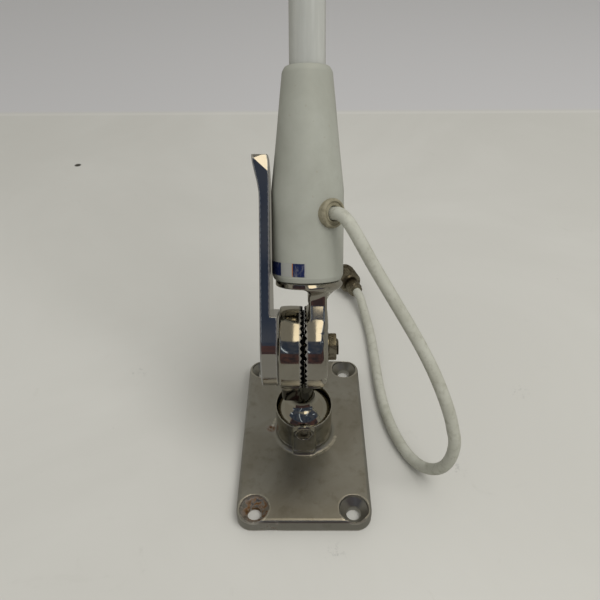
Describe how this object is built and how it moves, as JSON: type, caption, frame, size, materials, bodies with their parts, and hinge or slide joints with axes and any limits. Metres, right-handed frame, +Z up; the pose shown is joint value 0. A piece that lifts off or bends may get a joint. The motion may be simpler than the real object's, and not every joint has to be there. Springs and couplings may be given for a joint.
{
  "type": "marine whip antenna on a ratchet mount",
  "caption": "White marine whip antenna in a tapered collar on a stainless fold-down ratchet mount, with a coax cable and plug.",
  "frame": {"origin": "centre of the base plate's four screw holes, at the plate's underside", "axes": "+Z up out of the plate; -Y the front, with the set screw; the whip leans back towards +Y; the lever is on the -X side"},
  "size_m": [0.1235, 0.4968, 0.92],
  "materials": {
    "stainless": "polished, slightly tarnished",
    "bright_steel": "polished",
    "spring_steel": "drawn wire",
    "nylon": "matte",
    "seal_rubber": "matte",
    "collar_plastic": "satin, aged",
    "insert_brass": "machined",
    "label_film": "satin film",
    "grommet_rubber": "matte",
    "tube_gelcoat": "gloss",
    "cap_plastic": "gloss",
    "rod_brass": "drawn",
    "foam": "matte foam",
    "former_resin": "matte",
    "coil_copper": "drawn wire",
    "cable_jacket": "satin, grimy",
    "plug_nickel": "tarnished",
    "pin_brass": "dull",
    "insulator_white": "matte"
  },
  "bodies": {
    "base": {"base_plate": "stainless", "set_screw": "bright_steel", "thrust_washer": "nylon", "cable_tail": "cable_jacket", "plug_body": "plug_nickel", "plug_insulator": "insulator_white", "plug_pin": "pin_brass"},
    "knuckle": {"knuckle": "stainless", "swivel_bolt": "bright_steel", "swivel_washer": "bright_steel", "release_spring": "spring_steel"},
    "upper": {"swing_bracket": "stainless", "pivot_bolt": "bright_steel", "hex_nut": "bright_steel", "lock_washer": "bright_steel", "collar_seal": "seal_rubber", "collar": "collar_plastic", "thread_insert": "insert_brass", "label_band": "label_film", "cable_grommet": "grommet_rubber", "whip_tube": "tube_gelcoat", "tip_cap": "cap_plastic", "radiator_rod": "rod_brass", "foam_spacers": "foam", "coil_former": "former_resin", "matching_coil": "coil_copper", "feed_lead": "cable_jacket", "cable_loop": "cable_jacket"},
    "handle": {"lever": "stainless"},
    "ring": {"coupling_ring": "plug_nickel"}
  },
  "joints": [
    {"name": "base_swivel", "type": "hinge", "parent": "base", "child": "knuckle", "pos_m": [0, 0, 0.02], "axis": [0, 0, 1], "range_deg": [-90, 90], "deforming": ["cable_tail"]},
    {"name": "tilt", "type": "hinge", "parent": "knuckle", "child": "upper", "pos_m": [0, 0, 0.081], "axis": [-1, 0, 0], "range_deg": [-117, 63], "deforming": ["cable_loop"]},
    {"name": "lever_turn", "type": "hinge", "parent": "knuckle", "child": "handle", "pos_m": [-0.018, 0, 0.081], "axis": [-1, 0, 0], "range_deg": [-107, 83]},
    {"name": "ring_spin", "type": "hinge", "parent": "base", "child": "ring", "pos_m": [0.0432, 0.1431, 0.0094], "axis": [-0.342, 0.9397, 0], "continuous": true}
  ]
}
